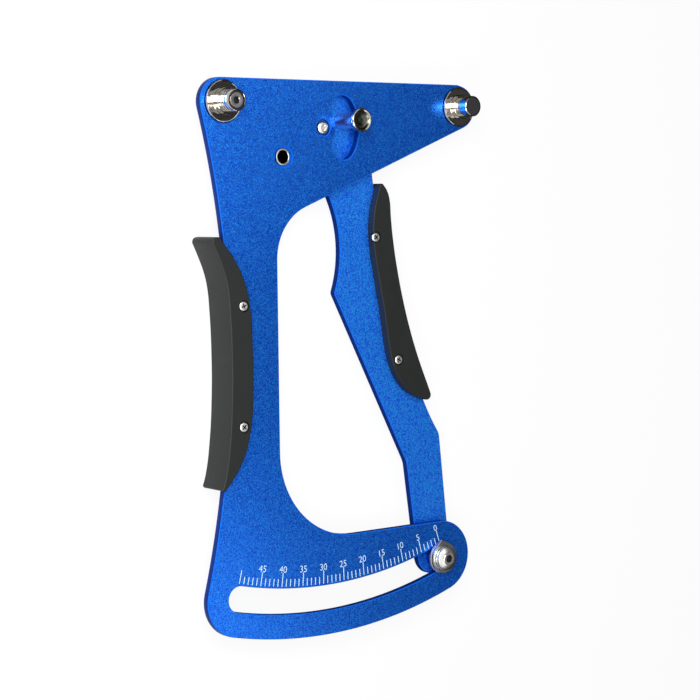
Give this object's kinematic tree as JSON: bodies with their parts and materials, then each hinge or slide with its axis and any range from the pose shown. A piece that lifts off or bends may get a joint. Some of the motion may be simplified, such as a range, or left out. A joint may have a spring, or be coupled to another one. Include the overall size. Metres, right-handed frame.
{
  "type": "spoke tension meter",
  "caption": "Hand gauge for wheel spokes: a C-shaped blue plate with two fixed posts, a sprung lever with a moving post, dark grips, and a pointer on a curved scale.",
  "frame": {"origin": "centre of the bounding box in plan, on the surface that the tool lies on, under the backs of its two grips", "axes": "+Z out of the plate's front, the way the posts stand; +Y along the tool towards its posts; +X towards the right-hand post"},
  "size_m": [0.1304, 0.2102, 0.0199],
  "materials": {
    "anodised_blue": "satin blue with a fine metallic sparkle",
    "spacer_blue": "satin blue",
    "polished_chrome": "polished",
    "zinc_steel": "bright zinc",
    "stainless_steel": "semi-bright",
    "spring_steel": "drawn wire",
    "bearing_polymer": "plain",
    "black_disc": "matt",
    "grip_plastic": "fine matt"
  },
  "bodies": {
    "body": {"body_plate": "anodised_blue", "left_post": "polished_chrome", "right_post": "polished_chrome", "right_post_cap": "black_disc", "left_post_screw": "zinc_steel", "right_post_screw": "zinc_steel", "spring_stud_body": "stainless_steel", "return_spring": "spring_steel", "pivot_screw": "zinc_steel", "pivot_washer": "bearing_polymer", "pivot_back_washer": "zinc_steel", "pivot_nut": "zinc_steel", "left_grip_front": "grip_plastic", "left_grip_back": "grip_plastic", "left_grip_screw_upper": "zinc_steel", "left_grip_screw_lower": "zinc_steel"},
    "lever": {"lever_plate": "anodised_blue", "pivot_bush": "bearing_polymer", "moving_post": "polished_chrome", "moving_post_nut": "zinc_steel", "spring_stud_lever": "zinc_steel", "pointer_spacer": "spacer_blue", "pointer": "stainless_steel", "pointer_washer": "stainless_steel", "pointer_screw": "stainless_steel", "pointer_nut": "zinc_steel", "right_grip_front": "grip_plastic", "right_grip_back": "grip_plastic", "right_grip_screw_upper": "zinc_steel", "right_grip_screw_lower": "zinc_steel"}
  },
  "joints": [
    {"name": "lever_hinge", "type": "hinge", "parent": "body", "child": "lever", "pos_m": [-0.00985, 0.0875, 0.0048], "axis": [0, 0, -1], "range_deg": [0, 31.5], "stiffness_Nm_per_rad": 2.5, "springref_deg": -4.98, "deforming": ["return_spring"]}
  ]
}
